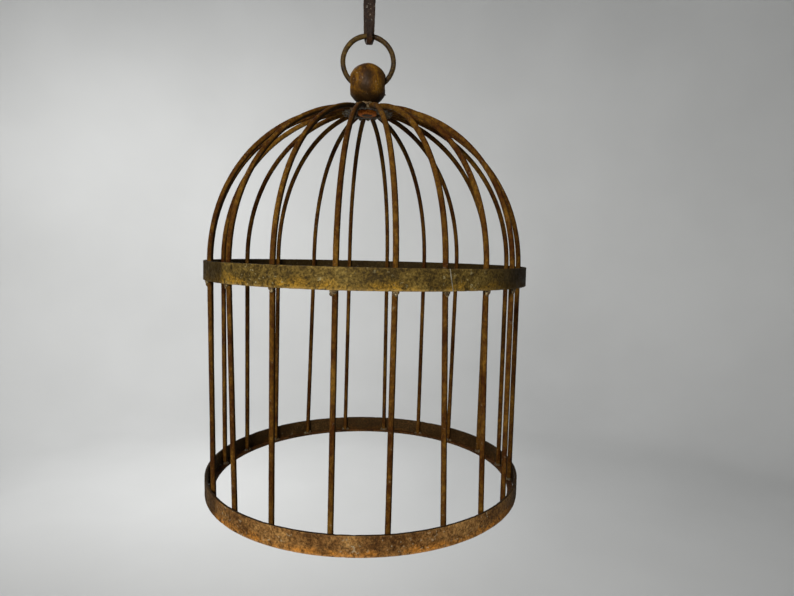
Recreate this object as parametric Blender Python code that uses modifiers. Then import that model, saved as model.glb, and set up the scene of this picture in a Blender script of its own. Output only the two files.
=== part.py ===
"""Domed iron bird cage hanging from the hooked end of a flat iron bar.

Twenty round rods stand on a flat ledge inside a hoop at the foot, pass up inside a second
hoop at the shoulder and bend over into a dome.  Their ends are welded round the rim of a
round plate, and a drilled iron ball on a shouldered stud is nutted through that plate.  A
plain round ring runs through the ball and hangs in the hook.  There is no floor or door.

Metres, +Z up, origin at the middle of the foot hoop's underside, front towards -Y.
"""
import bpy
import bmesh
from math import acos, cos, pi, radians, sin
from mathutils import Matrix, Vector

# ---- driving dimensions -------------------------------------------------------------
GAP = 0.0003                    # clearance left between pieces that touch

HOOP_BAR_HEIGHT = 0.0242        # flat bar on edge
HOOP_BAR_THICKNESS = 0.0032
SHOULDER_HOOP_RADIUS = 0.215    # outside
SHOULDER_HOOP_TOP = 0.3054
FOOT_HOOP_RADIUS = 0.2142       # outside

LEDGE_INNER_RADIUS = 0.2020
LEDGE_OUTER_RADIUS = 0.2100
LEDGE_BOTTOM = 0.0010
LEDGE_THICKNESS = 0.0032

ROD_RADIUS = 0.0033
DOME_SPRING = 0.3020            # height where the rods start to bend
DOME_APEX = 0.5122              # height that the rods' centre lines bend towards
DOME_FULLNESS = 2.08            # 2 is a plain ellipse, more is rounder shouldered
ROD_END_RADIUS = 0.0275         # where the rods stop, from the crown's axis
CROWN_X = -0.0040               # the crown was set a little to the left by hand

# Where each rod meets the shoulder hoop, in degrees from the front, and how much further
# round its foot is.  The smith spaced them by eye.
ROD_AZIMUTHS = (-83.0, -68.0, -47.9, -27.9, -8.2, 8.7, 24.0, 40.2, 57.1, 86.3,
                101.3, 117.2, 135.3, 152.6, 171.0, 189.1, 206.4, 224.8, 242.8, 260.8)
ROD_FOOT_DRIFTS = (-1.5, 6.0, 3.7, 0.0, -0.5, -0.5, 2.3, 2.2, 0.5, -0.4,
                   -0.1, 0.8, 1.5, 0.7, -0.3, 0.8, 2.3, 0.8, 0.0, -1.0)
LEG_POINTS = 6
DOME_POINTS = 17

PLATE_THICKNESS = 0.0030
PLATE_TOP = 0.5136              # the rods' ends are welded round its rim
NUT_ACROSS_FLATS = 0.0240
NUT_THICKNESS = 0.0053          # a thin lock nut
STUD_RADIUS = 0.0070
STUD_SHOULDER_RADIUS = 0.0110
STUD_THREAD_PAST_NUT = 0.0006

BALL_RADIUS = 0.0260
BALL_STRETCH = 0.0032           # straight part between the ball's two halves
BALL_CENTRE_HEIGHT = 0.5454
BALL_SEAT_HEIGHT = 0.5195       # flat under the ball that sits on the stud's shoulder
BALL_SOCKET_TOP = 0.5300        # end of the stud's socket
CROSS_HOLE_RADIUS = 0.0115
CROSS_HOLE_HEIGHT = 0.5452

RING_RADIUS = 0.0340            # centre line
RING_WIRE_RADIUS = 0.0034
RING_BOTTOM_HEIGHT = 0.5410     # wire's centre where it lies inside the ball

HOOK_BAR_WIDTH = 0.0168
HOOK_BEND_WIDTH = 0.0150        # where the drawn-down bar starts to bend
HOOK_TIP_WIDTH = 0.0088
HOOK_SHOULDER_HEIGHT = 0.6450   # the bar is full width above this
HOOK_BAR_THICKNESS = 0.0060
HOOK_INNER_RADIUS = 0.0080
HOOK_LIP_HEIGHT = 0.0070        # straight part of the lip above the bend
HOOK_TOP = 0.7250
HOOK_SCREW_HOLE_RADIUS = 0.0035
HOOK_SCREW_HEIGHTS = (0.6830, 0.7130)

ROUND_STEPS = 96                # facets round the hoops and the ledge
SMALL_ROUND_STEPS = 40          # facets round the small turned pieces

# ---- sizes that follow from those ---------------------------------------------------
SHOULDER_LEG_RADIUS = SHOULDER_HOOP_RADIUS - HOOP_BAR_THICKNESS - GAP - ROD_RADIUS
FOOT_LEG_RADIUS = FOOT_HOOP_RADIUS - HOOP_BAR_THICKNESS - GAP - ROD_RADIUS
LEG_BOTTOM = LEDGE_BOTTOM + LEDGE_THICKNESS + GAP
PLATE_RADIUS = ROD_END_RADIUS - GAP
PLATE_BOTTOM = PLATE_TOP - PLATE_THICKNESS
NUT_TOP = PLATE_BOTTOM - GAP
NUT_BOTTOM = NUT_TOP - NUT_THICKNESS
CROSS_HOLE_CENTRE = Vector((CROWN_X, 0.0, CROSS_HOLE_HEIGHT))
RING_CENTRE = Vector((CROWN_X, 0.0, RING_BOTTOM_HEIGHT + RING_RADIUS))
RING_TOP = RING_CENTRE + Vector((0.0, 0.0, RING_RADIUS))
# The ring droops towards the hook's edges, so its middle rides a little above the seat.
RING_DROOP = RING_RADIUS - (RING_RADIUS ** 2 - (HOOK_BEND_WIDTH / 2) ** 2) ** 0.5
HOOK_BEND_CENTRE = RING_TOP + Vector(
    (0.0, 0.0, HOOK_INNER_RADIUS - RING_WIRE_RADIUS - RING_DROOP - GAP))


# ---- scene helpers ------------------------------------------------------------------
def clear_scene():
    for obj in list(bpy.data.objects):
        bpy.data.objects.remove(obj)


def new_collection(name):
    collection = bpy.data.collections.new(name)
    bpy.context.scene.collection.children.link(collection)
    return collection


def iron(name, colour, roughness, metallic):
    material = bpy.data.materials.new(name)
    material.use_nodes = True
    shader = material.node_tree.nodes["Principled BSDF"]
    shader.inputs["Base Color"].default_value = (*colour, 1.0)
    shader.inputs["Roughness"].default_value = roughness
    shader.inputs["Metallic"].default_value = metallic
    return material


def add_object(name, data, collection, material=None):
    obj = bpy.data.objects.new(name, data)
    collection.objects.link(obj)
    if material is not None:
        data.materials.append(material)
    return obj


def add_pivot(name, position, parent=None):
    """Empty whose X axis is the axis that its children swing about."""
    pivot = bpy.data.objects.new(name, None)
    parts.objects.link(pivot)
    pivot.empty_display_size = 0.02
    pivot.parent = parent
    pivot.location = position - parent.matrix_world.translation if parent else position
    bpy.context.view_layer.update()
    return pivot


def hang_on(obj, pivot):
    """Parent an object to a pivot and leave it where it is."""
    bpy.context.view_layer.update()
    obj.parent = pivot
    obj.matrix_parent_inverse = pivot.matrix_world.inverted()


def shade(mesh):
    mesh.shade_smooth()
    mesh.set_sharp_from_angle(angle=radians(35))


# ---- shape helpers ------------------------------------------------------------------
def turned_ring(name, inner, outer, bottom, top, collection, material, steps, centre_x=0.0):
    """Rectangular section swept once round Z by a Screw modifier."""
    mesh = bpy.data.meshes.new(name)
    corners = [(outer, 0, top), (outer, 0, bottom), (inner, 0, bottom), (inner, 0, top)]
    mesh.from_pydata(corners, [(0, 1), (1, 2), (2, 3), (3, 0)], [])
    obj = add_object(name, mesh, collection, material)
    obj.location.x = centre_x
    screw = obj.modifiers.new("turn", "SCREW")
    screw.angle = 2 * pi
    screw.steps = steps
    screw.render_steps = steps
    screw.use_merge_vertices = True
    screw.merge_threshold = 0.00005
    screw.use_smooth_shade = False
    return obj


def cylinder_mesh(name, radius, bottom, top, sides, turn=0.0):
    """Closed cylinder or prism along Z."""
    mesh = bpy.data.meshes.new(name)
    bm = bmesh.new()
    bmesh.ops.create_cone(bm, cap_ends=True, segments=sides, radius1=radius,
                          radius2=radius, depth=top - bottom)
    bmesh.ops.rotate(bm, verts=bm.verts, matrix=Matrix.Rotation(turn, 3, "Z"))
    bmesh.ops.translate(bm, verts=bm.verts, vec=(0, 0, (top + bottom) / 2))
    bm.to_mesh(mesh)
    bm.free()
    return mesh


def add_cutter(name, radius, length, position, rotation=(0.0, 0.0, 0.0)):
    mesh = cylinder_mesh(name, radius, -length / 2, length / 2, SMALL_ROUND_STEPS)
    cutter = add_object(name, mesh, cutters)
    cutter.location = position
    cutter.rotation_euler = rotation
    cutter.hide_render = True
    cutter.display_type = "WIRE"
    return cutter


def boolean(obj, other, operation="DIFFERENCE"):
    modifier = obj.modifiers.new(other.name, "BOOLEAN")
    modifier.operation = operation
    modifier.object = other


# ---- the cage's hoops and ledge -----------------------------------------------------
def build_hoops():
    shoulder = turned_ring("shoulder_hoop", SHOULDER_HOOP_RADIUS - HOOP_BAR_THICKNESS,
                           SHOULDER_HOOP_RADIUS, SHOULDER_HOOP_TOP - HOOP_BAR_HEIGHT,
                           SHOULDER_HOOP_TOP, parts, hoop_iron, ROUND_STEPS)
    foot = turned_ring("foot_hoop", FOOT_HOOP_RADIUS - HOOP_BAR_THICKNESS,
                       FOOT_HOOP_RADIUS, 0.0, HOOP_BAR_HEIGHT, parts, hoop_iron, ROUND_STEPS)
    ledge = turned_ring("foot_ledge", LEDGE_INNER_RADIUS, LEDGE_OUTER_RADIUS, LEDGE_BOTTOM,
                        LEDGE_BOTTOM + LEDGE_THICKNESS, parts, hoop_iron, ROUND_STEPS)
    return [shoulder, foot, ledge]


# ---- the rods -----------------------------------------------------------------------
def on_circle(radius, azimuth, height):
    """Point at an azimuth from the front (-Y), turning towards +X."""
    return Vector((radius * sin(azimuth), -radius * cos(azimuth), height))


def rod_route(azimuth, foot_azimuth):
    """Straight leg, then a superelliptic quarter arc in the plane of leg and crown."""
    foot = on_circle(FOOT_LEG_RADIUS, foot_azimuth, LEG_BOTTOM)
    knee = on_circle(SHOULDER_LEG_RADIUS, azimuth, DOME_SPRING)
    route = [foot.lerp(knee, i / LEG_POINTS) for i in range(LEG_POINTS)]
    crown = Vector((CROWN_X, 0.0, DOME_SPRING))
    outward = knee - crown
    power = 2.0 / DOME_FULLNESS
    end_angle = acos((ROD_END_RADIUS / outward.length) ** (1 / power))
    for i in range(DOME_POINTS):
        angle = end_angle * i / (DOME_POINTS - 1)
        rise = (DOME_APEX - DOME_SPRING) * sin(angle) ** power
        route.append(crown + outward * cos(angle) ** power + Vector((0, 0, rise)))
    return route


def build_rod(number, azimuth, foot_azimuth):
    curve = bpy.data.curves.new(f"rod_{number:02d}", "CURVE")
    curve.dimensions = "3D"
    curve.bevel_depth = ROD_RADIUS
    curve.bevel_resolution = 2
    curve.use_fill_caps = True
    route = rod_route(azimuth, foot_azimuth)
    spline = curve.splines.new("POLY")
    spline.points.add(len(route) - 1)
    for point, position in zip(spline.points, route):
        point.co = (*position, 1.0)
    return add_object(curve.name, curve, parts, rod_iron)


def build_rods():
    rods = []
    for number, (azimuth, drift) in enumerate(zip(ROD_AZIMUTHS, ROD_FOOT_DRIFTS), 1):
        rods.append(build_rod(number, radians(azimuth), radians(azimuth + drift)))
    return rods


# ---- the crown: plate, stud, nut and ball -------------------------------------------
def build_plate():
    return turned_ring("crown_plate", STUD_RADIUS + GAP, PLATE_RADIUS, PLATE_BOTTOM,
                       PLATE_TOP, parts, crown_iron, SMALL_ROUND_STEPS, CROWN_X)


def build_stud():
    """Threaded below the plate, shouldered above it, with a spigot inside the ball."""
    bottom = NUT_BOTTOM - STUD_THREAD_PAST_NUT
    spigot_top = BALL_SOCKET_TOP - GAP
    shoulder_bottom = PLATE_TOP + GAP
    shoulder_top = BALL_SEAT_HEIGHT - GAP
    shank = cylinder_mesh("crown_stud", STUD_RADIUS, bottom, spigot_top, SMALL_ROUND_STEPS)
    stud = add_object("crown_stud", shank, parts, crown_iron)
    stud.location.x = CROWN_X
    shoulder_mesh = cylinder_mesh("stud_shoulder", STUD_SHOULDER_RADIUS, shoulder_bottom,
                                  shoulder_top, SMALL_ROUND_STEPS)
    shoulder = add_object("stud_shoulder", shoulder_mesh, cutters)
    shoulder.location.x = CROWN_X
    shoulder.hide_render = True
    shoulder.display_type = "WIRE"
    boolean(stud, shoulder, "UNION")
    return stud


def build_nut():
    corner_radius = NUT_ACROSS_FLATS / 2 / cos(pi / 6)
    mesh = cylinder_mesh("crown_nut", corner_radius, NUT_BOTTOM, NUT_TOP, 6, radians(8))
    nut = add_object("crown_nut", mesh, parts, nut_iron)
    nut.location.x = CROWN_X
    middle = (CROWN_X, 0.0, (NUT_TOP + NUT_BOTTOM) / 2)
    boolean(nut, add_cutter("nut_bore", STUD_RADIUS + GAP, 2 * NUT_THICKNESS, middle))
    return nut


def build_ball():
    """A ball pulled a little taller, drilled across for the ring and up for the stud."""
    mesh = bpy.data.meshes.new("crown_ball")
    bm = bmesh.new()
    bmesh.ops.create_uvsphere(bm, u_segments=36, v_segments=19, radius=BALL_RADIUS)
    for vert in bm.verts:
        vert.co.z += BALL_STRETCH / 2 if vert.co.z > 0 else -BALL_STRETCH / 2
    bm.to_mesh(mesh)
    bm.free()
    ball = add_object("crown_ball", mesh, parts, ball_iron)
    ball.location = (CROWN_X, 0.0, BALL_CENTRE_HEIGHT)
    length = 2 * BALL_RADIUS
    half = length / 2
    boolean(ball, add_cutter("ball_cross_hole", CROSS_HOLE_RADIUS, 2 * length,
                             CROSS_HOLE_CENTRE, (0.0, pi / 2, 0.0)))
    boolean(ball, add_cutter("ball_seat", BALL_RADIUS, length,
                             (CROWN_X, 0.0, BALL_SEAT_HEIGHT - half)))
    boolean(ball, add_cutter("ball_socket", STUD_RADIUS + GAP, length,
                             (CROWN_X, 0.0, BALL_SOCKET_TOP - half)))
    return ball


# ---- the ring and the hook ----------------------------------------------------------
def build_ring():
    bpy.ops.mesh.primitive_torus_add(
        major_radius=RING_RADIUS, minor_radius=RING_WIRE_RADIUS, major_segments=64,
        minor_segments=10, location=RING_CENTRE, rotation=(pi / 2, 0.0, 0.0))
    ring = bpy.context.object
    ring.name = "lifting_ring"
    for collection in list(ring.users_collection):
        collection.objects.unlink(ring)
    parts.objects.link(ring)
    ring.data.materials.append(ring_iron)
    return ring


def hook_route():
    """(y, z, width) down the shank, round the bend under the ring and up the lip."""
    centre = HOOK_BEND_CENTRE
    reach = HOOK_INNER_RADIUS + HOOK_BAR_THICKNESS / 2
    taper = HOOK_BEND_WIDTH - HOOK_TIP_WIDTH
    route = [(reach, HOOK_TOP - (HOOK_TOP - HOOK_SHOULDER_HEIGHT) * i / 3, HOOK_BAR_WIDTH)
             for i in range(4)]
    bend_steps = 12
    for i in range(bend_steps + 1):
        angle = pi * i / bend_steps
        width = HOOK_BEND_WIDTH - taper * i / bend_steps
        route.append((reach * cos(angle), centre.z - reach * sin(angle), width))
    route.append((-reach, centre.z + HOOK_LIP_HEIGHT, HOOK_TIP_WIDTH))
    return route


def build_hook():
    """Flat bar as an open ribbon, thickened by Solidify and drilled near its top."""
    mesh = bpy.data.meshes.new("hanger_hook")
    points = []
    for y, z, width in hook_route():
        points.append((CROWN_X - width / 2, y, z))
        points.append((CROWN_X + width / 2, y, z))
    faces = [(i, i + 1, i + 3, i + 2) for i in range(0, len(points) - 2, 2)]
    mesh.from_pydata(points, [], faces)
    hook = add_object("hanger_hook", mesh, parts, hanger_iron)
    solidify = hook.modifiers.new("bar", "SOLIDIFY")
    solidify.thickness = HOOK_BAR_THICKNESS
    solidify.offset = 0.0
    solidify.use_even_offset = True
    shank_y = HOOK_INNER_RADIUS + HOOK_BAR_THICKNESS / 2
    for number, height in enumerate(HOOK_SCREW_HEIGHTS, 1):
        hole = add_cutter(f"hook_screw_hole_{number}", HOOK_SCREW_HOLE_RADIUS, 0.03,
                          (CROWN_X, shank_y, height), (pi / 2, 0.0, 0.0))
        boolean(hook, hole)
    return hook


# ---- assembly -----------------------------------------------------------------------
clear_scene()
parts = new_collection("bird_cage")
cutters = new_collection("cutters")

hoop_iron = iron("hoop_iron", (0.110, 0.072, 0.024), 0.72, 0.35)
rod_iron = iron("rod_iron", (0.125, 0.065, 0.022), 0.70, 0.35)
crown_iron = iron("crown_iron", (0.105, 0.085, 0.045), 0.75, 0.35)
nut_iron = iron("nut_iron", (0.200, 0.060, 0.018), 0.80, 0.20)
ball_iron = iron("ball_iron", (0.190, 0.105, 0.018), 0.60, 0.35)
ring_iron = iron("ring_iron", (0.070, 0.045, 0.016), 0.60, 0.45)
hanger_iron = iron("hanger_iron", (0.045, 0.036, 0.026), 0.65, 0.45)

hook = build_hook()
ring_pivot = add_pivot("ring_pivot", RING_TOP)
ring = build_ring()
cage_pivot = add_pivot("cage_pivot", CROSS_HOLE_CENTRE, ring_pivot)
cage = build_hoops() + build_rods() + [build_plate(), build_stud(), build_nut(), build_ball()]

hang_on(ring, ring_pivot)
for piece in cage:
    hang_on(piece, cage_pivot)
for piece in [hook, ring] + cage:
    if piece.type == "MESH":
        shade(piece.data)
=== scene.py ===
"""Looks of the rusty bird cage that hangs from a hooked iron bar.

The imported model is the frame: its nodes give the places, the sizes and the bodies.  Every
node is stood in for by a finer piece, such as a round rod, a hammered bar with worn
corners or a drilled ball, and the smith's weld beads are added where pieces meet.
Metres, +Z up, front towards -Y.
"""

import random
from math import acos, atan2, cos, exp, pi, radians, sin

import bmesh
import bpy
from mathutils import Matrix, Vector, noise


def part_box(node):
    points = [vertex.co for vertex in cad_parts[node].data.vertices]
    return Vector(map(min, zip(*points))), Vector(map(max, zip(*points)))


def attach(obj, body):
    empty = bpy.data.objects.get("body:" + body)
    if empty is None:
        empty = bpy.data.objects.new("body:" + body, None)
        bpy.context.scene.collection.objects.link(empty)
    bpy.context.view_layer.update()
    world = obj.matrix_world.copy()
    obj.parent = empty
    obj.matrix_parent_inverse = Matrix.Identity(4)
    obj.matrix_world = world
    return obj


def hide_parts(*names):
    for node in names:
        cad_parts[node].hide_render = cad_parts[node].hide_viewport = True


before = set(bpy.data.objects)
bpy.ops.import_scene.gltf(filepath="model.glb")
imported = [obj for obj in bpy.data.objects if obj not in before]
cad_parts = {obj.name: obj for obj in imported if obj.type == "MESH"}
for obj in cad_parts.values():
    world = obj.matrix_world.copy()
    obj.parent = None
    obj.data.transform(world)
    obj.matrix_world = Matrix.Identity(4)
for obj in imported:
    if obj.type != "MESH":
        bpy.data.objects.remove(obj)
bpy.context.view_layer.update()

# ---- the camera ---------------------------------------------------------------------
CAMERA_PLACE = Vector((0.0084, -0.7822, 0.3209))
CAMERA_PITCH = -0.0807          # radians, below the horizon
CAMERA_YAW = 0.0435             # towards +X
CAMERA_ROLL = 0.0242
CAMERA_LENS = 25.53             # millimetres
CAMERA_SENSOR = 36.0            # millimetres

# ---- sizes that the frame's boxes don't give ----------------------------------------
BAR_THICKNESS = 0.0032          # of the two hoops
BAR_CORNER = 0.0007
LEDGE_WIDTH = 0.0080
SEAM_AZIMUTH = radians(24.4)    # where the shoulder hoop's ends were welded together
SEAM_LEAN = 0.0046              # how far the seam's foot lies beyond its top
ROD_RADIUS = 0.0033
SHADED_SIDE = Vector((0.98, 0.20, 0.0))      # painted shade makes the rods blackest on this side, away from the key light
DOME_SPRING = 0.3020            # height where the rods start to bend
DOME_APEX = 0.5122
DOME_FULLNESS = 2.08
ROD_END_RADIUS = 0.0275         # where the rods stop, from the crown's axis
BALL_RADIUS = 0.0260
BALL_CENTRE_HEIGHT = 0.5454
CROSS_HOLE_RADIUS = 0.0115
CROSS_HOLE_HEIGHT = 0.5452
BURR_OFFSET = (0.0230, -0.0030) # of the burr at the ball's right, from the crown's axis
BURR_HEIGHT = 0.5325
RING_WIRE_RADIUS = 0.0034
RING_STEPS = 200
RING_SIDES = 18
HOOK_INNER_RADIUS = 0.0080
HOOK_THICKNESS = 0.0060
HOOK_LIP_HEIGHT = 0.0070
HOOK_NECK_HEIGHT = 0.650        # below it the bar narrows towards its bend
HOOK_BAR_WIDTH = 0.0166
HOOK_BEND_WIDTH = 0.0146        # where the bend starts
HOOK_LIP_WIDTH = 0.0080         # where the lip starts
HOOK_TIP_WIDTH = 0.0062
HOOK_CORNER = 0.0013
HOOK_END_TAPERS = (0.72, 0.90, 0.98)            # from either end inwards
HOOK_BEND_SHIFT = 0.0002        # how far to the right the bend starts
HOOK_LIP_SHIFT = 0.0016         # how far to the right the lip stands
SCREW_HOLE_RADIUS = 0.0035
SCREW_HEIGHTS = (0.6830, 0.7130)

# ---- sizes that the frame gives -----------------------------------------------------
RODS = sorted(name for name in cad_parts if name.startswith("rod_"))
PLATE_LOW, PLATE_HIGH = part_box("crown_plate")
PLATE_RADIUS = (PLATE_HIGH.x - PLATE_LOW.x) / 2
CROWN_X = (PLATE_HIGH.x + PLATE_LOW.x) / 2
BALL_LOW, BALL_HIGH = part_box("crown_ball")
NUT_LOW, NUT_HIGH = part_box("crown_nut")
STUD_LOW, STUD_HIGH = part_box("crown_stud")
SHOULDER_LOW, SHOULDER_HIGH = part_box("shoulder_hoop")
FOOT_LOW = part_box("foot_hoop")[0]
RING_LOW, RING_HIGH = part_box("lifting_ring")
HOOK_LOW, HOOK_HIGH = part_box("hanger_hook")

# ---- looks that the hoops share -----------------------------------------------------
WEAR_FROM = 0.86                # share of a hoop's half height where its edge wear starts
TOP_WEAR = 0.15                 # of the wear on its lower edge
INSIDE_SHADE = 0.68             # painted shade on the inner face, as a share of the darkening on its top

random.seed(20)


# ---- mesh helpers -------------------------------------------------------------------
def clamp(value):
    return max(0.0, min(1.0, value))


def raised(height):
    return Vector((0.0, 0.0, height))


def outward_at(azimuth):
    """Level direction away from the cage's axis; azimuth 0 is the front."""
    return Vector((sin(azimuth), -cos(azimuth), 0.0))


def around_at(azimuth):
    """Level direction round the cage's axis."""
    return Vector((cos(azimuth), sin(azimuth), 0.0))


def crown_point(azimuth, radius, height):
    """Point at a distance from the crown's axis."""
    return Vector((CROWN_X + radius * sin(azimuth), -radius * cos(azimuth), height))


def placed(name, data):
    """New object in the scene."""
    obj = bpy.data.objects.new(name, data)
    bpy.context.scene.collection.objects.link(obj)
    return obj


def mesh_of(name, bm):
    """New mesh from a bmesh, which is freed."""
    mesh = bpy.data.meshes.new(name)
    bm.to_mesh(mesh)
    bm.free()
    return mesh


def paint(mesh, name, values):
    """Stores one number a point, for a material to read by name."""
    mesh.attributes.new(name, "FLOAT", "POINT").data.foreach_set("value", values)


def rough(point, grain, seed=0.0):
    """Smooth noise from -1 to 1 whose bumps are about one grain across."""
    return noise.noise(point / grain + Vector((seed, 3.1 * seed, -seed)))


def skin(name, rings, loop=False):
    """Mesh through rings of points; its open ends are closed unless it is a loop."""
    mesh = bpy.data.meshes.new(name)
    count = len(rings[0])
    verts = [point for ring in rings for point in ring]
    faces = []
    for i in range(len(rings) if loop else len(rings) - 1):
        here = i * count
        after = (i + 1) % len(rings) * count
        for j in range(count):
            k = (j + 1) % count
            faces.append((here + j, here + k, after + k, after + j))
    if not loop:
        for start in (0, len(verts) - count):
            verts.append(sum(rings[start // count], Vector()) / count)
            tip = len(verts) - 1
            faces += [(start + j, start + (j + 1) % count, tip) for j in range(count)]
    mesh.from_pydata(verts, [], faces)
    bm = bmesh.new()
    bm.from_mesh(mesh)
    bmesh.ops.recalc_face_normals(bm, faces=bm.faces)
    bm.to_mesh(mesh)
    bm.free()
    return mesh


def tube_rings(route, radius_at, sides):
    """Rings round a smooth route, carried along it without twist."""
    tangents = []
    for i in range(len(route)):
        ahead = route[min(i + 1, len(route) - 1)]
        behind = route[max(i - 1, 0)]
        tangents.append((ahead - behind).normalized())
    side = tangents[0].orthogonal().normalized()
    rings = []
    for i, (point, tangent) in enumerate(zip(route, tangents)):
        side = (side - tangent * side.dot(tangent)).normalized()
        other = tangent.cross(side)
        ring = []
        for j in range(sides):
            angle = 2 * pi * j / sides
            outward = side * cos(angle) + other * sin(angle)
            ring.append(point + outward * radius_at(i, point + outward * 0.003))
        rings.append(ring)
    return rings


def rounded_section(width, height, corner, across, up):
    """Points round a rectangle with round corners; across and up count the parts of
    each side."""
    corner_steps = 3
    half_w = width / 2 - corner
    half_h = height / 2 - corner
    section = []
    middles = ((half_w, half_h), (-half_w, half_h), (-half_w, -half_h), (half_w, -half_h))
    for number, (mid_w, mid_h) in enumerate(middles):
        for step in range(corner_steps + 1):
            angle = (number + step / corner_steps) * pi / 2
            section.append(Vector((mid_w + corner * cos(angle), mid_h + corner * sin(angle))))
        next_w, next_h = middles[(number + 1) % 4]
        parts = across if number % 2 == 0 else up
        last = section[-1].copy()
        travel = Vector((next_w - mid_w, next_h - mid_h))
        for part in range(1, parts):
            section.append(last + travel * part / parts)
    return section


def lump(bm, place, size, turn, seed):
    """Irregular blob of once-molten metal; size holds its three half-widths."""
    made = bmesh.ops.create_icosphere(bm, subdivisions=3, radius=1.0)
    for vert in made["verts"]:
        swell = 1.0 + 0.18 * rough(vert.co, 0.9, seed) + 0.09 * rough(vert.co, 0.35, seed)
        local = Vector((vert.co.x * size[0], vert.co.y * size[1], vert.co.z * size[2]))
        vert.co = place + turn @ (local * swell)


def lump_mesh(name, rows):
    """One mesh of lumps; each row holds a lump's place, size and turn."""
    bm = bmesh.new()
    for number, row in enumerate(rows):
        lump(bm, *row, seed=1.7 * number + len(name))
    return mesh_of(name, bm)


def show(name, mesh, body, material, slot, *nodes, smooth_angle=50):
    """Adds a piece, rides it on its body and hides the frame's nodes that it stands for."""
    mesh.shade_smooth()
    mesh.set_sharp_from_angle(angle=radians(smooth_angle))
    mesh.materials.clear()
    mesh.materials.append(material)
    piece = placed(name, mesh)
    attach(piece, body)
    if nodes:
        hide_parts(*nodes)


def cut(mesh, tool_meshes):
    """The mesh less the tools, as a new mesh."""
    scratch = placed("scratch", mesh)
    tools = [placed("tool", tool_mesh) for tool_mesh in tool_meshes]
    for tool in tools:
        scratch.modifiers.new("cut", "BOOLEAN").object = tool
    bpy.context.view_layer.update()
    graph = bpy.context.evaluated_depsgraph_get()
    result = bpy.data.meshes.new_from_object(scratch.evaluated_get(graph))
    for obj in [scratch] + tools:
        bpy.data.objects.remove(obj)
    return result


def drill(radius, start, end):
    """Closed cylinder between two points, to cut with."""
    bm = bmesh.new()
    axis = end - start
    turn = axis.to_track_quat("Z", "Y").to_matrix().to_4x4()
    bmesh.ops.create_cone(bm, cap_ends=True, segments=48, radius1=radius,
                          radius2=radius, depth=axis.length,
                          matrix=Matrix.Translation((start + end) / 2) @ turn)
    return mesh_of("drill", bm)


def remeshed(mesh, voxel, smoothing):
    """Voxel remesh, then a little smoothing, which rounds every edge."""
    scratch = placed("scratch", mesh)
    remesh = scratch.modifiers.new("remesh", "REMESH")
    remesh.mode = "VOXEL"
    remesh.voxel_size = voxel
    smooth = scratch.modifiers.new("smooth", "SMOOTH")
    smooth.factor = 0.5
    smooth.iterations = smoothing
    graph = bpy.context.evaluated_depsgraph_get()
    result = bpy.data.meshes.new_from_object(scratch.evaluated_get(graph))
    bpy.data.objects.remove(scratch)
    return result


def pit(mesh, depths):
    """Moves each point along its normal by several sizes of noise: (grain, depth)."""
    normals = [vert.normal.copy() for vert in mesh.vertices]
    for vert, normal in zip(mesh.vertices, normals):
        push = sum(depth * rough(vert.co, grain, grain * 7000) for grain, depth in depths)
        vert.co = vert.co + normal * push


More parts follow.
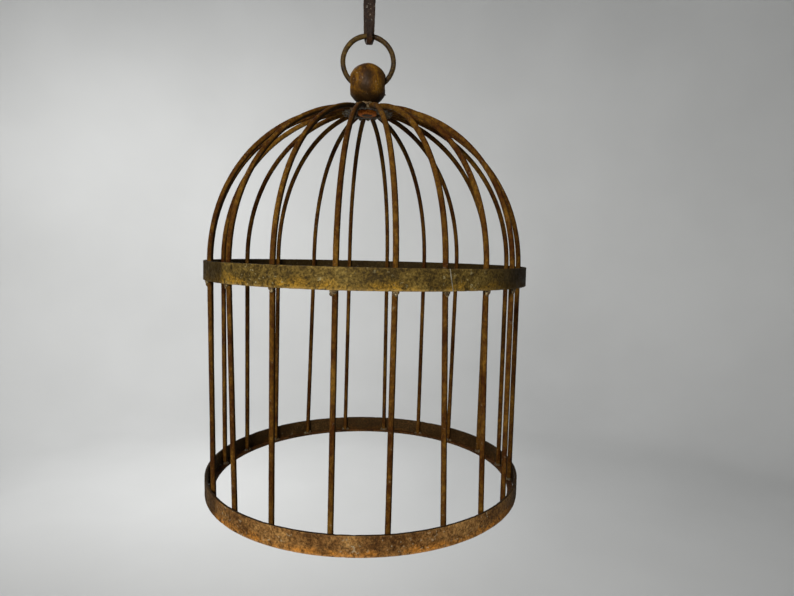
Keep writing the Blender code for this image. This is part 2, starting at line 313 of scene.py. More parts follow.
# ---- materials ----------------------------------------------------------------------
class Recipe:
    """One material's node tree, built a node at a time."""

    def __init__(self, name):
        self.material = bpy.data.materials.new(name)
        self.material.use_nodes = True
        self.tree = self.material.node_tree
        self.shader = self.tree.nodes["Principled BSDF"]
        self.place = self.tree.nodes.new("ShaderNodeTexCoord").outputs["Object"]

    def add(self, kind, links=(), **settings):
        node = self.tree.nodes.new(kind)
        for key, value in settings.items():
            setattr(node, key, value)
        for socket, value in dict(links).items():
            if isinstance(value, bpy.types.NodeSocket):
                self.tree.links.new(value, node.inputs[socket])
            else:
                node.inputs[socket].default_value = value
        return node

    def noise(self, grain, detail=4.0, roughness=0.6, distortion=0.0, stretch=(1, 1, 1),
              shift=0.0):
        """Noise from 0 to 1 whose blotches are about one grain across."""
        moved = self.add("ShaderNodeMapping", {
            "Vector": self.place, "Scale": stretch, "Location": (shift, -shift, 2 * shift)})
        made = self.add("ShaderNodeTexNoise", {
            "Vector": moved.outputs[0], "Scale": 0.6 / grain, "Detail": detail,
            "Roughness": roughness, "Distortion": distortion})
        return made.outputs["Fac"]

    def remap(self, value, low, high, out_low=0.0, out_high=1.0):
        made = self.add("ShaderNodeMapRange", {
            "Value": value, "From Min": low, "From Max": high,
            "To Min": out_low, "To Max": out_high}, interpolation_type="SMOOTHSTEP")
        return made.outputs["Result"]

    def math(self, operation, first, second):
        made = self.add("ShaderNodeMath", {0: first, 1: second}, operation=operation)
        return made.outputs[0]

    def mix(self, factor, first, second, blend="MIX"):
        made = self.add("ShaderNodeMix", data_type="RGBA", blend_type=blend)
        for index, value in ((0, factor), (6, first), (7, second)):
            if isinstance(value, bpy.types.NodeSocket):
                self.tree.links.new(value, made.inputs[index])
            elif index == 0:
                made.inputs[index].default_value = value
            else:
                made.inputs[index].default_value = (*value, 1.0)
        return made.outputs[2]

    def height(self, low, high):
        """0 below one height and 1 above another."""
        z = self.add("ShaderNodeSeparateXYZ", {0: self.place}).outputs["Z"]
        return self.remap(z, low, high)

    def attribute(self, name):
        return self.add("ShaderNodeAttribute", attribute_name=name).outputs["Fac"]

    def grey(self, value):
        """One value as a colour."""
        made = self.add("ShaderNodeCombineColor", {0: value, 1: value, 2: value})
        return made.outputs[0]

    def finish(self, colour, roughness, metallic, bumps):
        """Links the shader; bumps holds (height, distance) pairs, coarse to fine."""
        self.tree.links.new(colour, self.shader.inputs["Base Color"])
        self.tree.links.new(roughness, self.shader.inputs["Roughness"])
        if isinstance(metallic, bpy.types.NodeSocket):
            self.tree.links.new(metallic, self.shader.inputs["Metallic"])
        else:
            self.shader.inputs["Metallic"].default_value = metallic
        normal = None
        for height, distance in bumps:
            links = {"Height": height, "Distance": distance, "Strength": 1.0}
            if normal is not None:
                links["Normal"] = normal
            normal = self.add("ShaderNodeBump", links).outputs["Normal"]
        self.tree.links.new(normal, self.shader.inputs["Normal"])
        return self.material


def bloomed(recipe, colour, warm, mottles, shift):
    """Adds a warm bloom that gathers towards the lower of two heights."""
    low, high, tint = warm
    reach = recipe.math("SUBTRACT", recipe.noise(0.024, 3.0, 0.6, 0.8, shift=shift + 5), 0.5)
    lean = recipe.math("SUBTRACT", 1.0, recipe.height(low, high))
    amount = recipe.math("ADD", lean, recipe.math("MULTIPLY", reach, 2.6))
    amount = recipe.math("MULTIPLY", recipe.remap(amount, 0.35, 1.15),
                         recipe.remap(mottles, 0.32, 0.62))
    return recipe.mix(amount, colour, tint)


def flecked(recipe, colour, fleck, share, grain, patch, shift):
    """Adds pale flecks, a little over a grain across, in some zones only."""
    specks = recipe.noise(grain * 1.6, 2.0, 0.5, 0.0, shift=shift + 9)
    zones = recipe.remap(recipe.noise(patch * 0.7, 2.0, 0.5, shift=shift + 11), 0.42, 0.60)
    specks = recipe.math("MULTIPLY", recipe.remap(specks, 0.62, 0.72), zones)
    return recipe.mix(recipe.math("MULTIPLY", specks, share), colour, fleck)


def grimed_and_shaded(recipe, colour, grime_and_shade, mottles):
    """Darkens the colour, with a ragged edge, where the piece's darkening attribute is high:
    painted shade on the rods, the hoops' sides and inner faces and the ball's underside and
    right side, besides dark streaks on the ball and a dark top edge on each hoop.
    """
    amount = recipe.attribute("grime_and_shade")
    ragged = recipe.math("MULTIPLY", recipe.math("SUBTRACT", mottles, 0.5), 0.9)
    soot_and_shade = recipe.remap(recipe.math("ADD", amount, ragged), 0.25, 0.75)
    soot_and_shade = recipe.math("MULTIPLY", soot_and_shade, recipe.remap(amount, 0.0, 0.2))
    return recipe.mix(recipe.math("MULTIPLY", soot_and_shade, 0.90), colour, grime_and_shade)


def rust(name, dark, body, bright, fleck, patch=0.030, mottle=0.0050, grain=0.0013,
         stretch=(1, 1, 1), fleck_share=0.30, roughness=(0.55, 0.88), metallic=0.15,
         relief=0.00035, warm=None, worn=None, grime_and_shade=None, specular=0.06,
         contrast=1.0, shift=0.0):
    """Layered rust: broad patches, mottling and fine grain between a dark scale, a body
    colour and a bright bloom, with pale flecks.  warm is (low height, high height,
    colour) for bloomed.  worn and the darkening colour are the colours that show where the
    piece's wear and darkening attributes are high; that darkening is partly painted shade."""
    recipe = Recipe(name)
    patches = recipe.noise(patch, 3.0, 0.55, 0.4, shift=shift)
    mottles = recipe.noise(mottle, 5.0, 0.68, 0.6, stretch, shift + 1.3)
    grains = recipe.noise(grain, 3.0, 0.7, 0.0, stretch, shift + 2.6)
    blend = recipe.math("ADD", recipe.math("MULTIPLY", patches, 0.45),
                        recipe.math("MULTIPLY", mottles, 0.55))
    colour = recipe.mix(recipe.remap(blend, 0.40, 0.52), dark, body)
    colour = recipe.mix(recipe.remap(blend, 0.50, 0.62), colour, bright)
    if warm:
        colour = bloomed(recipe, colour, warm, mottles, shift)
    shade = recipe.remap(grains, 0.30, 0.70, 1 - 0.38 * contrast, 1 + 0.38 * contrast)
    colour = recipe.mix(1.0, colour, recipe.grey(shade), "MULTIPLY")
    colour = flecked(recipe, colour, fleck, fleck_share, grain, patch, shift)
    if worn:
        wear = recipe.math("MULTIPLY", recipe.attribute("wear"),
                           recipe.remap(mottles, 0.30, 0.62))
        colour = recipe.mix(wear, colour, worn)
    if grime_and_shade:
        colour = grimed_and_shaded(recipe, colour, grime_and_shade, mottles)
    recipe.shader.inputs["Specular IOR Level"].default_value = specular
    return recipe.finish(colour, recipe.remap(mottles, 0.3, 0.7, *roughness), metallic,
                         [(patches, relief * 1.5), (mottles, relief), (grains, relief * 0.5)])


def slag(name, dark, pale, bloom, relief=0.0005):
    """Weld metal: glassy scale with rust in its hollows and dark pin holes."""
    recipe = Recipe(name)
    blotches = recipe.noise(0.0042, 4.0, 0.6, 0.8)
    glints = recipe.noise(0.0030, 3.0, 0.6, 0.5, shift=4)
    grains = recipe.noise(0.0012, 3.0, 0.7)
    colour = recipe.mix(recipe.remap(blotches, 0.36, 0.60), dark, bloom)
    colour = recipe.mix(recipe.remap(glints, 0.50, 0.62), colour, pale)
    colour = recipe.mix(recipe.remap(grains, 0.35, 0.30), colour, dark)
    return recipe.finish(colour, recipe.remap(blotches, 0.3, 0.7, 0.32, 0.75),
                         recipe.remap(blotches, 0.6, 0.35, 0.0, 0.10),
                         [(blotches, relief), (grains, relief * 0.5)])


def make_materials():
    """All the object's materials, by the names that the pieces ask for."""
    # dark colour of the painted shade on the rods and on the hoops' sides and inner faces, and
    # of the hoops' dark top edges
    soot_and_shade = (0.013, 0.007, 0.002)
    return {
        "rod": rust(
            "rust_rods", dark=(0.036, 0.011, 0.002), body=(0.068, 0.028, 0.004),
            bright=(0.120, 0.058, 0.008), fleck=(0.40, 0.36, 0.27), fleck_share=0.14,
            mottle=0.0045, stretch=(1, 1, 0.6), roughness=(0.70, 0.95), metallic=0.05,
            specular=0.04, relief=0.00026, grime_and_shade=soot_and_shade),
        "shoulder": rust(
            "rust_shoulder_hoop", dark=(0.036, 0.023, 0.006), body=(0.084, 0.054, 0.012),
            bright=(0.150, 0.103, 0.027), fleck=(0.330, 0.280, 0.140), fleck_share=0.60,
            patch=0.026, mottle=0.0034, grain=0.0015, contrast=1.5, metallic=0.05,
            relief=0.00060, worn=(0.30, 0.20, 0.070), grime_and_shade=soot_and_shade,
            warm=(SHOULDER_LOW.z, SHOULDER_HIGH.z - 0.004, (0.238, 0.131, 0.015))),
        "foot": rust(
            "rust_foot_hoop", dark=(0.062, 0.027, 0.007), body=(0.146, 0.070, 0.020),
            bright=(0.262, 0.142, 0.045), fleck=(0.46, 0.40, 0.26), fleck_share=0.45,
            mottle=0.0036, grain=0.0015, contrast=1.4, metallic=0.05,
            relief=0.00055, worn=(0.36, 0.22, 0.10), grime_and_shade=soot_and_shade, shift=3.0,
            warm=(FOOT_LOW.z, FOOT_LOW.z + 0.016, (0.38, 0.150, 0.022))),
        "ledge": rust(
            "rust_ledge", dark=(0.020, 0.009, 0.003), body=(0.052, 0.024, 0.007),
            bright=(0.100, 0.048, 0.014), fleck=(0.24, 0.19, 0.12), fleck_share=0.4,
            patch=0.024, metallic=0.05, worn=(0.26, 0.070, 0.016), shift=6.0),
        # the ball's darkening colour serves its dark streaks and the painted shade under it and
        # on its right
        "ball": rust(
            "rust_ball", dark=(0.040, 0.015, 0.002), body=(0.108, 0.045, 0.003),
            bright=(0.190, 0.090, 0.005), fleck=(0.42, 0.33, 0.20), fleck_share=0.35,
            patch=0.018, mottle=0.0040, stretch=(1, 1, 0.5), roughness=(0.50, 0.80),
            specular=0.15, grime_and_shade=(0.014, 0.006, 0.001), shift=8.0),
        "crown": rust(
            "rust_crown", dark=(0.028, 0.019, 0.009), body=(0.080, 0.054, 0.023),
            bright=(0.150, 0.112, 0.055), fleck=(0.33, 0.33, 0.25), fleck_share=0.6,
            patch=0.018, mottle=0.0040, shift=9.0),
        "nut": rust(
            "rust_nut", dark=(0.200, 0.053, 0.010), body=(0.475, 0.134, 0.020),
            bright=(0.750, 0.240, 0.036), fleck=(0.40, 0.28, 0.18), fleck_share=0.3,
            patch=0.010, mottle=0.0035, roughness=(0.7, 0.95), metallic=0.0, shift=12.0),
        "ring": rust(
            "rust_ring", dark=(0.012, 0.005, 0.002), body=(0.048, 0.027, 0.006),
            bright=(0.110, 0.066, 0.014), fleck=(0.26, 0.19, 0.07), fleck_share=0.3,
            patch=0.020, mottle=0.0045, roughness=(0.45, 0.75), metallic=0.05,
            specular=0.12, shift=14.0),
        "hanger": rust(
            "forged_hanger", dark=(0.009, 0.005, 0.003), body=(0.021, 0.012, 0.008),
            bright=(0.044, 0.025, 0.013), fleck=(0.34, 0.30, 0.25), fleck_share=0.40,
            patch=0.020, mottle=0.0050, roughness=(0.50, 0.82), metallic=0.05,
            specular=0.10, relief=0.00065, worn=(0.10, 0.042, 0.014), shift=17.0),
        "slag": slag("weld_slag", dark=(0.012, 0.007, 0.003), pale=(0.150, 0.118, 0.055),
                     bloom=(0.070, 0.037, 0.008)),
        "bead": slag("weld_beads", dark=(0.030, 0.016, 0.004), pale=(0.25, 0.19, 0.09),
                     bloom=(0.095, 0.052, 0.011)),
        "foot_bead": slag("foot_weld_beads", dark=(0.022, 0.012, 0.004),
                          pale=(0.105, 0.078, 0.032), bloom=(0.068, 0.036, 0.009)),
        "seam": slag("ground_seam", dark=(0.110, 0.095, 0.065), pale=(0.27, 0.26, 0.22),
                     bloom=(0.20, 0.175, 0.12), relief=0.0002),
    }


# ---- the cage's hoops and ledge -----------------------------------------------------
def side_shade(angle, left_from, right_from):
    """Painted shade where a hoop turns away from the light, quick on the left and slow on the
    right.
    """
    across = sin(angle)
    left = clamp((-across - left_from) / 0.06)
    right = clamp((across - right_from) / 0.40)
    return 0.60 * left + 0.66 * right


def hoop_mesh(name, node, thickness, steps, dent, nick, seed, side_shade_from):
    """Flat bar rolled into a hoop, with softened corners, shallow dents and nicked edges.
    The last argument is where the painted side shade starts to the left and to the right."""
    low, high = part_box(node)
    middle_radius = (high.x - low.x) / 2 - thickness / 2
    middle_height = (low.z + high.z) / 2
    half_height = (high.z - low.z) / 2
    section = rounded_section(thickness, high.z - low.z, BAR_CORNER, 1, 9)
    rings = []
    wear = []
    grime_and_shade = []
    for i in range(steps):
        angle = 2 * pi * i / steps
        outward = outward_at(angle)
        ring = []
        for out, up in section:
            point = outward * (middle_radius + out) + raised(middle_height + up)
            sway = dent * (rough(point, 0.016, seed) + 0.5 * rough(point, 0.005, seed))
            edge = abs(up) / half_height
            drop = nick * max(0.0, rough(point, 0.007, seed + 5) - 0.25) if edge > 0.9 else 0.0
            point = point + outward * sway
            point.z -= drop * (1 if up > 0 else -1)
            ring.append(point)
            wear.append(max(0.0, (edge - WEAR_FROM) / (1 - WEAR_FROM))
                        * (1.0 if up < 0 else TOP_WEAR))
            # darkening: full on the top edge, painted shade on the inner face and on the sides
            # turned from the light
            if up > half_height - 0.0003:
                grime_and_shade.append(1.0)
            elif out < 0.0:
                grime_and_shade.append(INSIDE_SHADE)
            else:
                grime_and_shade.append(side_shade(angle, *side_shade_from))
        rings.append(ring)
    mesh = skin(name, rings, loop=True)
    paint(mesh, "wear", wear)
    paint(mesh, "grime_and_shade", grime_and_shade)
    return mesh


def add_hoops(materials):
    """The two hoops and the ledge inside the lower one."""
    shoulder = hoop_mesh("shoulder_band", "shoulder_hoop", BAR_THICKNESS, steps=480,
                         dent=0.00022, nick=0.0011, seed=2.0, side_shade_from=(0.71, 0.40))
    show("shoulder_band", shoulder, "cage", materials["shoulder"], "hoop_iron", "shoulder_hoop")
    foot = hoop_mesh("foot_band", "foot_hoop", BAR_THICKNESS, steps=480,
                     dent=0.00022, nick=0.0011, seed=11.0, side_shade_from=(0.76, 0.56))
    show("foot_band", foot, "cage", materials["foot"], "hoop_iron", "foot_hoop")
    ledge = hoop_mesh("foot_shelf", "foot_ledge", LEDGE_WIDTH, steps=420,
                      dent=0.00018, nick=0.0005, seed=21.0, side_shade_from=(2.0, 2.0))
    show("foot_shelf", ledge, "cage", materials["ledge"], "hoop_iron", "foot_ledge")


def add_seam(materials):
    """Ground-down weld across the shoulder hoop's joint, slightly proud of the bar."""
    rings = []
    steps = 14
    sides = 12
    top = SHOULDER_HIGH.z - 0.0004
    bottom = SHOULDER_LOW.z + 0.0004
    for i in range(steps + 1):
        share = i / steps
        azimuth = SEAM_AZIMUTH + SEAM_LEAN * share / SHOULDER_HIGH.x
        outward = outward_at(azimuth)
        along = around_at(azimuth)
        middle = outward * (SHOULDER_HIGH.x - 0.0002) + raised(top + (bottom - top) * share)
        width = 0.00085 * (1.0 - 0.35 * share) * (1 + 0.25 * rough(middle, 0.003, 3.0))
        ring = []
        for j in range(sides):
            angle = 2 * pi * j / sides
            ring.append(middle + along * width * cos(angle) + outward * 0.00045 * sin(angle))
        rings.append(ring)
    show("shoulder_seam", skin("shoulder_seam", rings), "cage", materials["seam"], "hoop_iron")


# ---- the rods -----------------------------------------------------------------------
def ring_centre(node, low, high):
    """Middle of a CAD node's points between two heights."""
    points = [v.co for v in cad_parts[node].data.vertices if low <= v.co.z <= high]
    return sum(points, Vector()) / len(points)


def rod_ends(node):
    """The rod's foot and its knee, where it starts to bend."""
    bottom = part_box(node)[0].z
    foot = ring_centre(node, bottom, bottom + 0.001)
    knee = ring_centre(node, DOME_SPRING - 0.003, DOME_SPRING + 0.003)
    knee.z = DOME_SPRING
    return foot, knee


def rod_route(node):
    """Straight leg, then the superelliptic quarter arc of the CAD rod, finely divided."""
    foot, knee = rod_ends(node)
    leg_steps = 84
    route = [foot.lerp(knee, i / leg_steps) for i in range(leg_steps)]
    crown = Vector((CROWN_X, 0.0, DOME_SPRING))
    outward = knee - crown
    power = 2.0 / DOME_FULLNESS
    end_angle = acos((ROD_END_RADIUS / outward.length) ** (1 / power))
    dome_steps = 96
    for i in range(dome_steps + 1):
        angle = end_angle * i / dome_steps
        rise = (DOME_APEX - DOME_SPRING) * sin(angle) ** power
        route.append(crown + outward * cos(angle) ** power + raised(rise))
    return route


def add_rods(materials):
    """Round rods, a little uneven, with painted shade on the side away from the key light."""
    for number, node in enumerate(RODS):
        route = rod_route(node)
        last = len(route) - 1

        def radius_at(i, point):
            nose = min(1.0, 0.62 + 0.19 * (last - i))       # rounds the rod's upper end
            swell = 0.020 * rough(point, 0.020, number) + 0.022 * rough(point, 0.005, number)
            return ROD_RADIUS * nose * (1.0 + swell)

        mesh = skin(f"bent_{node}", tube_rings(route, radius_at, 16))
        # painted shade: the rods darken towards the side turned away from the key light
        paint(mesh, "grime_and_shade", [clamp(vert.normal.dot(SHADED_SIDE) * 1.7 - 0.30)
                              for vert in mesh.vertices])
        show(f"bent_{node}", mesh, "cage", materials["rod"], "rod_iron", node, smooth_angle=70)


def turn_to(azimuth):
    """Turns local X to run round the hoop and local Y to point outwards."""
    return Matrix.Rotation(azimuth + pi, 3, "Z") @ Matrix.Scale(-1, 3, Vector((1, 0, 0)))


def shoulder_beads(foot, knee):
    """Bead under the shoulder hoop and the run that hangs from it."""
    azimuth = atan2(knee.x, -knee.y)
    around = around_at(azimuth)
    side = random.uniform(-0.0012, 0.0012)
    size = random.uniform(0.70, 1.15)
    leg = foot.lerp(knee, (SHOULDER_LOW.z - foot.z) / (knee.z - foot.z))
    place = leg + outward_at(azimuth) * 0.0032 + around * side
    turn = turn_to(azimuth)
    return [(place + raised(-0.0008 * size), (0.0042 * size, 0.0024, 0.0036 * size), turn),
            (place + around * 1.6 * side + raised(-0.0035 * size),
             (0.0025 * size, 0.0018, 0.0032 * size), turn)]


def foot_beads(foot):
    """Bead on each side of a rod's foot and, on some rods, one behind it."""
    azimuth = atan2(foot.x, -foot.y)
    turn = turn_to(azimuth)
    around = around_at(azimuth)
    outward = outward_at(azimuth)
    rows = []
    for sign in (-1, 1):
        spread = random.uniform(0.0022, 0.0040)
        height = random.uniform(0.0022, 0.0042)
        place = foot + around * sign * spread + outward * random.uniform(-0.0012, 0.0010)
        rows.append((place, (0.0034, 0.0032, height), turn))
    if random.random() < 0.6:
        rows.append((foot - outward * 0.0030,
                     (0.0030, 0.0020, random.uniform(0.0020, 0.0045)), turn))
    return rows


def add_welds(materials):
    """The beads under the shoulder hoop and at the rods' feet."""
    shoulder_rows = []
    foot_rows = []
    for node in RODS:
        foot, knee = rod_ends(node)
        shoulder_rows += shoulder_beads(foot, knee)
        foot_rows += foot_beads(foot)
    show("shoulder_welds", lump_mesh("shoulder_welds", shoulder_rows), "cage",
         materials["bead"], "hoop_iron")
    show("foot_welds", lump_mesh("foot_welds", foot_rows), "cage",
         materials["foot_bead"], "hoop_iron")


# ---- the crown ----------------------------------------------------------------------
def turned(name, profile, steps, wander, seed):
    """(radius, height) profile swept round the crown's axis; wander roughens it."""
    rings = []
    for i in range(steps):
        outward = outward_at(2 * pi * i / steps)
        ring = []
        for radius, height in profile:
            point = outward * radius + Vector((CROWN_X, 0, height))
            push = wander * rough(point, 0.008, seed) + wander / 2 * rough(point, 0.003, seed)
            ring.append(point + outward * push * min(1.0, radius / 0.01)
                        + raised(push * 0.5))
        rings.append(ring)
    return skin(name, rings, loop=True)


def add_plate(materials):
    """Round plate between the rods' ends, a little uneven."""
    bore = (STUD_HIGH.x - STUD_LOW.x) / 2 * 0.6     # the stud's shank against its shoulder
    low, high = PLATE_LOW.z, PLATE_HIGH.z
    flat = PLATE_RADIUS - 0.001     # where the rounded rim starts
    rim = PLATE_RADIUS - 0.0003
    steps = 12
    profile = [(bore, low)]
    profile += [(bore + (flat - bore) * i / steps, low) for i in range(1, steps + 1)]
    profile += [(rim, low + 0.0003), (rim, high - 0.0003)]
    profile += [(flat - (flat - bore) * i / steps, high) for i in range(steps)]
    profile += [(bore, high)]
    show("crown_disc", turned("crown_disc", profile, 120, 0.0007, 4.0), "cage",
         materials["crown"], "crown_iron", "crown_plate")


def add_nut(materials):
    """Thin lock nut with its corners turned off."""
    centre = Vector((CROWN_X, 0.0, 0.0))
    flats = 0.0120                  # from the axis to each flat
    corner = flats * 1.125
    bore = 0.0073
    face = flats * 0.93
    steps = 96
    low, high = NUT_LOW.z, NUT_HIGH.z
    rings = []
    for i in range(steps):
        angle = 2 * pi * i / steps
        outward = outward_at(angle)
        off = (angle + radians(8)) % (pi / 3) - pi / 6
        side = min(flats / cos(off), corner)
        crest = max(0.0, side - flats) * 0.6
        profile = [(bore, low), (face, low), (side - 0.0002, low + 0.0003 + crest),
                   (side, low + 0.0007 + crest), (side, high - 0.0007 - crest),
                   (side - 0.0002, high - 0.0003 - crest), (face, high), (bore, high)]
        rings.append([centre + outward * radius + raised(height)
                      for radius, height in profile])
    mesh = skin("lock_nut", rings, loop=True)
    pit(mesh, [(0.0030, 0.00015)])
    show("lock_nut", mesh, "cage", materials["nut"], "nut_iron", "crown_nut", smooth_angle=35)


def add_stud(materials):
    """Shouldered stud with a rolled thread showing under the nut."""
    pitch = 0.0006
    root = 0.0066
    crest = 0.0070
    shoulder = 0.0110
    pin_hole = 0.0005               # radius of the hole that stays open on the axis
    profile = [(pin_hole, STUD_LOW.z)]
    for i in range(int((PLATE_LOW.z - STUD_LOW.z) / pitch)):
        base = STUD_LOW.z + pitch * i
        profile += [(root, base + pitch * 0.15), (crest, base + pitch * 0.5)]
    profile += [(crest, PLATE_HIGH.z), (shoulder - 0.0004, PLATE_HIGH.z + 0.0004),
                (shoulder, PLATE_HIGH.z + 0.0009), (shoulder, BALL_LOW.z - 0.0010),
                (shoulder - 0.0006, BALL_LOW.z - 0.0003), (crest, BALL_LOW.z),
                (crest - 0.0002, STUD_HIGH.z - 0.0006), (pin_hole, STUD_HIGH.z - 0.0002)]
    show("ball_stud", turned("ball_stud", profile, 64, 0.0001, 7.0), "cage",
         materials["crown"], "crown_iron", "crown_stud", smooth_angle=40)


def rod_end_lumps():
    """Lumps between neighbouring rods' ends, and one under each end."""
    ends = []
    for node in RODS:
        end = rod_route(node)[-1]
        ends.append((atan2(end.x - CROWN_X, -end.y), end))
    ends.sort(key=lambda pair: pair[0])
    rows = []
    for number, (azimuth, end) in enumerate(ends):
        following = ends[(number + 1) % len(ends)][0]
        middle = azimuth + ((following - azimuth) % (2 * pi)) / 2
        outward = outward_at(middle)
        for out, half, drop in ((0.0006, 0.0032, 0.0006), (0.0048, 0.0028, 0.0022)):
            place = (Vector((CROWN_X, 0, end.z - drop - random.uniform(0.0, 0.0012)))
                     + outward * (ROD_END_RADIUS + out + random.uniform(-0.001, 0.001)))
            scale = random.uniform(0.8, 1.2)
            rows.append((place, (half * scale, half * 0.9, 0.0024 * scale), turn_to(middle)))
        rows.append((end + raised(-0.0016), (0.0032, 0.0040, 0.0028), turn_to(azimuth)))
    return rows


def plate_lumps():
    """Spatter scattered under the plate, then over it."""
    rows = []
    for _ in range(30):
        azimuth = random.uniform(0, 2 * pi)
        radius = random.uniform(0.0165, 0.0260)
        place = crown_point(azimuth, radius, PLATE_LOW.z - random.uniform(-0.0006, 0.0010))
        half = random.uniform(0.0016, 0.0034)
        rows.append((place, (half, half * random.uniform(0.7, 1.2), half * 0.55),
                     turn_to(azimuth)))
    for _ in range(14):
        azimuth = random.uniform(0, 2 * pi)
        radius = random.uniform(0.0145, 0.0260)
        half = random.uniform(0.0018, 0.0030)
        place = crown_point(azimuth, radius, PLATE_HIGH.z + 0.2 * half)
        rows.append((place, (half * 1.3, half, half * 0.6), turn_to(azimuth)))
    return rows


def collar_lumps():
    """Ring of lumps just under the ball."""
    rows = []
    count = 18
    for number in range(count):
        azimuth = 2 * pi * number / count + random.uniform(-0.1, 0.1)
        radius = random.uniform(0.0125, 0.0150)
        place = crown_point(azimuth, radius, BALL_LOW.z - random.uniform(0.0006, 0.0022))
        rows.append((place, (0.0030, 0.0026, 0.0020), turn_to(azimuth)))
    return rows


def smear_lumps():
    """Pale smear of three lumps on the front of the collar, running down to the right."""
    start = radians(-18.0)
    return [(crown_point(start + 0.22 * i, 0.0150, BALL_LOW.z - 0.0014 - 0.0006 * i),
             (0.0032, 0.0016, 0.0022), turn_to(start)) for i in range(3)]


def add_slag(materials):
    """Weld lumps at the rods' ends, on the plate and under the ball."""
    for name, rows, look in (
            ("crown_slag", rod_end_lumps() + plate_lumps(), "slag"),
            ("ball_collar_weld", collar_lumps(), "slag"),
            ("ball_smear_weld", smear_lumps(), "bead")):
        show(name, lump_mesh(name, rows), "cage", materials[look], "crown_iron")


def ball_streaks_and_shade(point):
    """Dark streaks down the ball's front and back, and painted shade on its underside and right
    side.
    """
    azimuth = atan2(point.x - CROWN_X, -point.y)
    front = exp(-((azimuth + 0.04 + 0.25 * rough(point, 0.012, 3.0)) / 0.36) ** 2)
    front *= clamp((BALL_HIGH.z - 0.004 - point.z) / 0.014)
    back = 0.75 * exp(-((abs(azimuth) - 2.2) / 0.5) ** 2)
    under = clamp((BALL_CENTRE_HEIGHT - 0.004 - point.z) / 0.016)
    right = clamp(azimuth / 0.9)
    return max(0.72 * max(front, back), 0.78 * under, 0.56 * right)


def add_ball(materials):
    """Slightly tall ball, flat where it sits, drilled across with the holes' lips worn."""
    bm = bmesh.new()
    bmesh.ops.create_uvsphere(bm, u_segments=96, v_segments=64, radius=BALL_RADIUS)
    stretch = (BALL_HIGH.z - BALL_CENTRE_HEIGHT) - BALL_RADIUS
    for vert in bm.verts:
        vert.co.z += stretch if vert.co.z > 0 else -stretch
        vert.co += Vector((CROWN_X, 0.0, BALL_CENTRE_HEIGHT))
    hole = Vector((CROWN_X, 0.0, CROSS_HOLE_HEIGHT))
    reach = Vector((2 * BALL_RADIUS, 0, 0))
    seat = Vector((CROWN_X, 0.0, BALL_LOW.z))
    drills = [drill(CROSS_HOLE_RADIUS, hole - reach, hole + reach),
              drill(2 * BALL_RADIUS, seat - raised(BALL_RADIUS), seat)]
    ball = remeshed(cut(mesh_of("drilled_ball", bm), drills), voxel=0.0007, smoothing=6)
    pit(ball, [(0.012, 0.00030), (0.0035, 0.00016), (0.0014, 0.00006)])
    # darkening: real dark streaks, and painted shade under the ball and on its right side
    paint(ball, "grime_and_shade", [ball_streaks_and_shade(vert.co) for vert in ball.vertices])
    show("drilled_ball", ball, "cage", materials["ball"], "ball_iron", "crown_ball",
         smooth_angle=60)
    burr = [(Vector((CROWN_X + BURR_OFFSET[0], BURR_OFFSET[1], BURR_HEIGHT)),
             (0.0020, 0.0009, 0.0008), Matrix.Rotation(radians(20), 3, "Y"))]
    show("ball_burr", lump_mesh("ball_burr", burr), "cage", materials["ball"], "ball_iron")


# ---- the ring and the hook ----------------------------------------------------------
def add_ring(materials):
    """Bent wire ring, slightly out of round, its forge weld hidden inside the ball."""
    centre = (RING_LOW + RING_HIGH) / 2
    radius = (RING_HIGH.x - RING_LOW.x) / 2 - RING_WIRE_RADIUS
    rings = []
    for i in range(RING_STEPS):
        angle = 2 * pi * i / RING_STEPS
        outward = Vector((sin(angle), 0.0, -cos(angle)))
        middle = centre + outward * (radius + 0.00025 * rough(outward, 0.7, 2.0))
        ring = []
        for j in range(RING_SIDES):
            turn = 2 * pi * j / RING_SIDES
            normal = outward * cos(turn) + Vector((0, 1, 0)) * sin(turn)
            near = middle + normal * 0.003
            swell = 0.030 * rough(near, 0.006, 5.0) + 0.025 * rough(near, 0.002, 6.0)
            ring.append(middle + normal * (RING_WIRE_RADIUS * (1 + swell)))
        rings.append(ring)
    show("wire_ring", skin("wire_ring", rings, loop=True), "ring", materials["ring"],
         "ring_iron", "lifting_ring", smooth_angle=70)


def hook_route():
    """(y, z, width, sideways) down the shank, round the bend and up the lip."""
    centre_z = HOOK_LOW.z + HOOK_THICKNESS + HOOK_INNER_RADIUS
    reach = HOOK_INNER_RADIUS + HOOK_THICKNESS / 2
    route = []
    shank_steps = 44
    for i in range(shank_steps):
        share = i / shank_steps
        height = HOOK_HIGH.z - (HOOK_HIGH.z - centre_z) * i / shank_steps
        narrowing = clamp((HOOK_NECK_HEIGHT - height) / (HOOK_NECK_HEIGHT - centre_z))
        width = HOOK_BAR_WIDTH + (HOOK_BEND_WIDTH - HOOK_BAR_WIDTH) * narrowing
        route.append((reach, height, width, HOOK_BEND_SHIFT * share))
    bend_steps = 26
    for i in range(bend_steps + 1):
        share = i / bend_steps
        angle = pi * share
        narrowing = sin(min(angle, pi / 2)) ** 2
        width = HOOK_BEND_WIDTH + (HOOK_LIP_WIDTH - HOOK_BEND_WIDTH) * narrowing
        shift = HOOK_BEND_SHIFT + (HOOK_LIP_SHIFT - HOOK_BEND_SHIFT) * share
        route.append((reach * cos(angle), centre_z - reach * sin(angle), width, shift))
    lip_steps = 6
    for i in range(1, lip_steps + 1):
        share = i / lip_steps
        width = HOOK_LIP_WIDTH + (HOOK_TIP_WIDTH - HOOK_LIP_WIDTH) * share ** 3
        route.append((-reach, centre_z + HOOK_LIP_HEIGHT * share, width, HOOK_LIP_SHIFT))
    return route


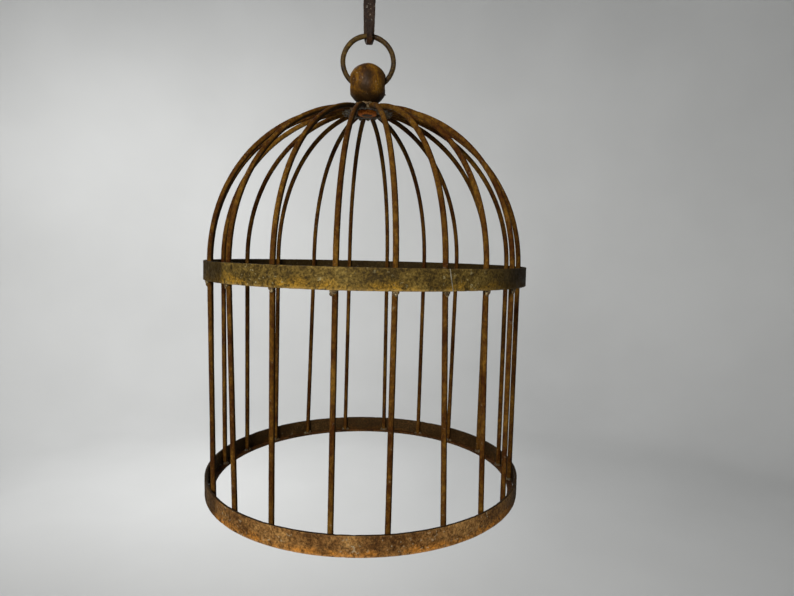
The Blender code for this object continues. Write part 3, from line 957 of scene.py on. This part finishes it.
def hook_ring(route, i):
    """Points round the bar at one step of its route, with hammer marks."""
    y, z, width, sideways = route[i]
    ahead = route[min(i + 1, len(route) - 1)]
    behind = route[max(i - 1, 0)]
    tangent = Vector((0, ahead[0] - behind[0], ahead[1] - behind[1])).normalized()
    normal = Vector((0, -tangent.z, tangent.y))
    middle = Vector((CROWN_X + sideways, y, z))
    from_end = min(i, len(route) - 1 - i)
    taper = HOOK_END_TAPERS[from_end] if from_end < len(HOOK_END_TAPERS) else 1.0
    ring = []
    for across, thick in rounded_section(width * taper, HOOK_THICKNESS * taper,
                                         HOOK_CORNER * taper, 5, 2):
        point = middle + Vector((across, 0, 0)) + normal * thick
        away = (point - middle).normalized()
        blow = 0.00038 * rough(point, 0.010, 31.0) + 0.00022 * rough(point, 0.004, 33.0)
        if across > width * taper * 0.45:       # the right edge is the lumpiest
            blow += 0.00055 * rough(raised(z), 0.0045, 37.0)
        ring.append(point + away * (blow - 0.0002))
    return ring


def add_hook(materials):
    """Hammered flat bar with soft corners, two screw holes and a drawn-down lip."""
    route = hook_route()
    mesh = skin("forged_hook", [hook_ring(route, i) for i in range(len(route))])
    back = Vector((CROWN_X, HOOK_INNER_RADIUS + HOOK_THICKNESS / 2, 0.0))
    reach = Vector((0.0, 0.02, 0.0))
    mesh = cut(mesh, [drill(SCREW_HOLE_RADIUS, back - reach + raised(height),
                            back + reach + raised(height)) for height in SCREW_HEIGHTS])
    worn_to = HOOK_LOW.z + 0.006
    paint(mesh, "wear", [clamp((worn_to - vert.co.z) / 0.006) for vert in mesh.vertices])
    show("forged_hook", mesh, "hanger", materials["hanger"], "hanger_iron", "hanger_hook",
         smooth_angle=45)


# ---- the studio ---------------------------------------------------------------------
def plain(name, colour, roughness):
    """Matt paint with faint clouding."""
    recipe = Recipe(name)
    clouds = recipe.noise(0.6, 3.0, 0.5)
    darker = tuple(0.94 * part for part in colour)
    tint = recipe.mix(recipe.remap(clouds, 0.3, 0.7), colour, darker)
    return recipe.finish(tint, recipe.remap(clouds, 0.3, 0.7, roughness, roughness + 0.05), 0.0,
                         [(clouds, 0.001)])


def add_cove():
    """Pale floor that curves up into a wall all round, well below the hanging cage."""
    floor_height = -1.0
    reach = 3.4
    curve = 1.2
    wall = 3.2
    floor_steps = 10
    curve_steps = 16
    sides = 128
    profile = [(reach * i / floor_steps, floor_height) for i in range(1, floor_steps + 1)]
    for i in range(1, curve_steps + 1):
        angle = pi / 2 * i / curve_steps
        profile.append((reach + curve * sin(angle), floor_height + curve * (1 - cos(angle))))
    profile.append((reach + curve, floor_height + curve + wall))
    verts = []
    for radius, height in profile:
        verts += [outward_at(2 * pi * i / sides) * radius + raised(height)
                  for i in range(sides)]
    faces = []
    for row in range(len(profile) - 1):
        here = row * sides
        after = here + sides
        for i in range(sides):
            k = (i + 1) % sides
            faces.append((here + i, here + k, after + k, after + i))
    faces.append(tuple(range(sides)))
    mesh = bpy.data.meshes.new("studio_cove")
    mesh.from_pydata(verts, [], faces)
    mesh.shade_smooth()
    mesh.materials.append(plain("pale_paint", (0.66, 0.665, 0.66), 0.85))
    placed("studio_cove", mesh)


def add_area_light(name, place, target, size, power, colour=(1, 1, 1)):
    """Round soft light of a width in metres and a power in watts."""
    light = bpy.data.lights.new(name, "AREA")
    light.shape = "DISK"
    light.size = size
    light.energy = power
    light.color = colour
    obj = placed(name, light)
    obj.location = place
    obj.rotation_euler = (Vector(target) - Vector(place)).to_track_quat("-Z", "Y").to_euler()


def add_lights():
    """Soft key from the front left, weak fill, and light on the back and the wall."""
    middle = (0.0, 0.0, 0.35)
    add_area_light("key", (-0.62, -1.95, 1.00), middle, size=0.45, power=52.0,
                   colour=(1.0, 0.97, 0.92))
    add_area_light("fill", (1.9, -1.4, 0.4), middle, size=1.6, power=1.0,
                   colour=(0.92, 0.96, 1.0))
    add_area_light("back", (-0.7, 2.3, 1.8), middle, size=1.6, power=18.0)
    add_area_light("wall_wash", (-1.3, 1.6, 1.2), (-0.5, 4.2, 0.2), size=1.0, power=60.0)
    world = bpy.data.worlds.new("studio")
    world.use_nodes = True
    background = world.node_tree.nodes["Background"]
    background.inputs["Color"].default_value = (0.90, 0.95, 1.0, 1.0)
    background.inputs["Strength"].default_value = 0.14
    bpy.context.scene.world = world


def add_camera():
    """Places the camera as the photographer held it, a touch off level."""
    ahead = Vector((sin(CAMERA_YAW) * cos(CAMERA_PITCH), cos(CAMERA_YAW) * cos(CAMERA_PITCH),
                    sin(CAMERA_PITCH)))
    level = around_at(-CAMERA_YAW)
    upright = level.cross(ahead)
    right = level * cos(CAMERA_ROLL) + upright * sin(CAMERA_ROLL)
    up = upright * cos(CAMERA_ROLL) - level * sin(CAMERA_ROLL)
    camera = bpy.data.cameras.new("camera")
    camera.lens = CAMERA_LENS
    camera.sensor_width = CAMERA_SENSOR
    camera.clip_start = 0.01
    obj = placed("camera", camera)
    basis = Matrix((right, up, -ahead)).transposed().to_4x4()
    obj.matrix_world = Matrix.Translation(CAMERA_PLACE) @ basis
    bpy.context.scene.camera = obj


# ---- assembly -----------------------------------------------------------------------
def main():
    materials = make_materials()
    add_hoops(materials)
    add_seam(materials)
    add_rods(materials)
    add_welds(materials)
    add_plate(materials)
    add_nut(materials)
    add_stud(materials)
    add_slag(materials)
    add_ball(materials)
    add_ring(materials)
    add_hook(materials)
    add_cove()
    add_lights()
    add_camera()
    bpy.context.scene.view_settings.view_transform = "Standard"


main()
